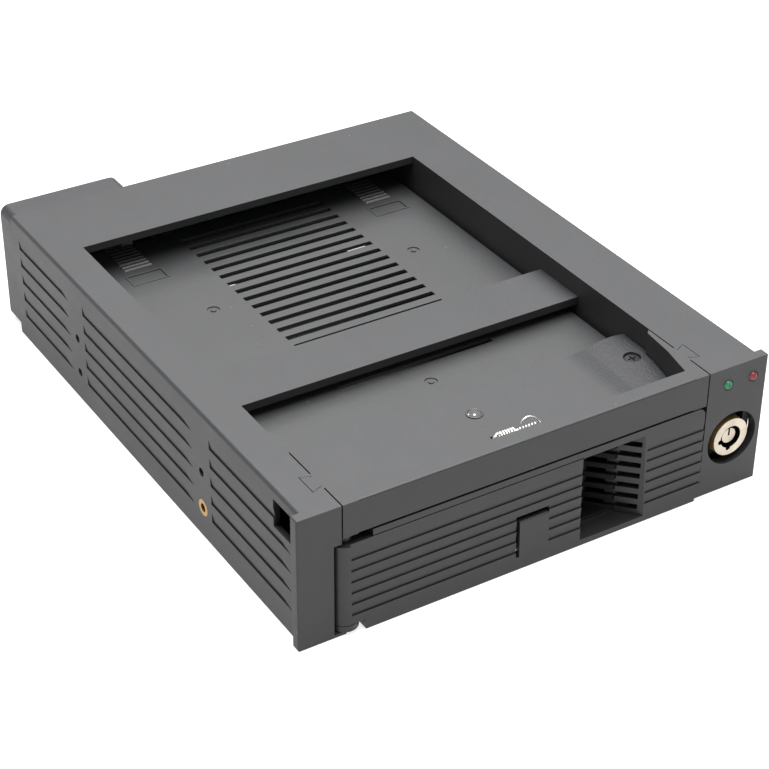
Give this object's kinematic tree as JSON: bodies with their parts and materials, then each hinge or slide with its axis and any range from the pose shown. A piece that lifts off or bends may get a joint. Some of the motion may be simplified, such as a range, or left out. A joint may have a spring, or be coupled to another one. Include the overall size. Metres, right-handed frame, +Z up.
{
  "type": "hot swap drive cage",
  "caption": "Half-height bay cage with a removable tray for a 3.5 inch drive: swing-out handle panel, release tab, key lock with a sliding bar, indicator lights and a rear fan.",
  "frame": {"origin": "middle of the footprint, on the underside", "axes": "+Y from the front bezel to the rear fan, +Z up, +X to the right seen from the front"},
  "size_m": [0.15, 0.1918, 0.0413],
  "materials": {
    "cage_plastic": "fine moulded texture",
    "tray_plastic": "fine moulded texture",
    "cover_plastic": "fine moulded texture",
    "fan_plastic": "moulded",
    "dark_steel": "blackened",
    "zinc_steel": "zinc plated",
    "spring_steel": "bright wire",
    "lock_metal": "satin",
    "brass": "turned",
    "green_lens": "diffused lens",
    "red_lens": "diffused lens",
    "board": "solder mask",
    "connector_plastic": "moulded",
    "socket_plastic": "moulded",
    "lead_sleeve": "flexible sleeve"
  },
  "bodies": {
    "cage": {"bay_frame": "cage_plastic", "front_header": "cage_plastic", "front_deck": "cage_plastic", "deck_screw": "dark_steel", "deck_rivet": "cage_plastic", "thread_inserts": "brass", "return_spring": "spring_steel", "lock_barrel": "lock_metal", "lock_nut": "zinc_steel", "led_board": "board", "led_green": "green_lens", "led_red": "red_lens", "led_lead": "lead_sleeve", "backplane_board": "board", "backplane_screws": "zinc_steel", "backplane_socket": "connector_plastic", "power_socket": "socket_plastic", "data_socket": "connector_plastic", "fan_frame": "fan_plastic", "fan_screws": "zinc_steel"},
    "tray": {"tray_body": "tray_plastic", "tray_board": "board", "board_screws": "zinc_steel", "drive_connector": "connector_plastic", "tray_dock_plug": "connector_plastic", "finger_scoop": "tray_plastic", "handle_pin": "spring_steel"},
    "cover": {"tray_cover": "cover_plastic"},
    "handle": {"swing_handle": "tray_plastic", "tab_pin": "spring_steel", "tab_spring": "spring_steel"},
    "release_tab": {"release_tab": "tray_plastic"},
    "lock_plug": {"lock_plug": "lock_metal", "lock_cam": "zinc_steel", "cam_screw": "zinc_steel"},
    "lock_bar": {"lock_bar": "zinc_steel"},
    "fan_rotor": {"fan_rotor": "fan_plastic"}
  },
  "joints": [
    {"name": "tray_slide", "type": "slide", "parent": "cage", "child": "tray", "axis": [0, -1, 0], "range_m": [0, 0.15]},
    {"name": "cover_slide", "type": "slide", "parent": "tray", "child": "cover", "axis": [0, 1, 0], "range_m": [0, 0.008]},
    {"name": "handle_swing", "type": "hinge", "parent": "tray", "child": "handle", "pos_m": [-0.0598, -0.09165, 0.015], "axis": [0, 0, -1], "range_deg": [0, 75]},
    {"name": "tab_press", "type": "hinge", "parent": "handle", "child": "release_tab", "pos_m": [-0.00295, -0.09386, 0.0059], "axis": [-1, 0, 0], "range_deg": [0, 8], "stiffness_Nm_per_rad": 0.004},
    {"name": "key_turn", "type": "hinge", "parent": "cage", "child": "lock_plug", "pos_m": [0.0647, -0.08465, 0.0169], "axis": [0, -1, 0], "range_deg": [0, 90.2]},
    {"name": "lock_bar_slide", "type": "slide", "parent": "cage", "child": "lock_bar", "axis": [-1, 0, 0], "range_m": [0, 0.00424], "deforming": ["return_spring"]},
    {"name": "fan_spin", "type": "hinge", "parent": "cage", "child": "fan_rotor", "pos_m": [-0.0524, 0.09085, 0.0202], "axis": [0, 1, 0], "continuous": true}
  ],
  "couplings": [
    {"joint": "key_turn", "follows": "lock_bar_slide", "rad_per_m": 370.21}
  ]
}
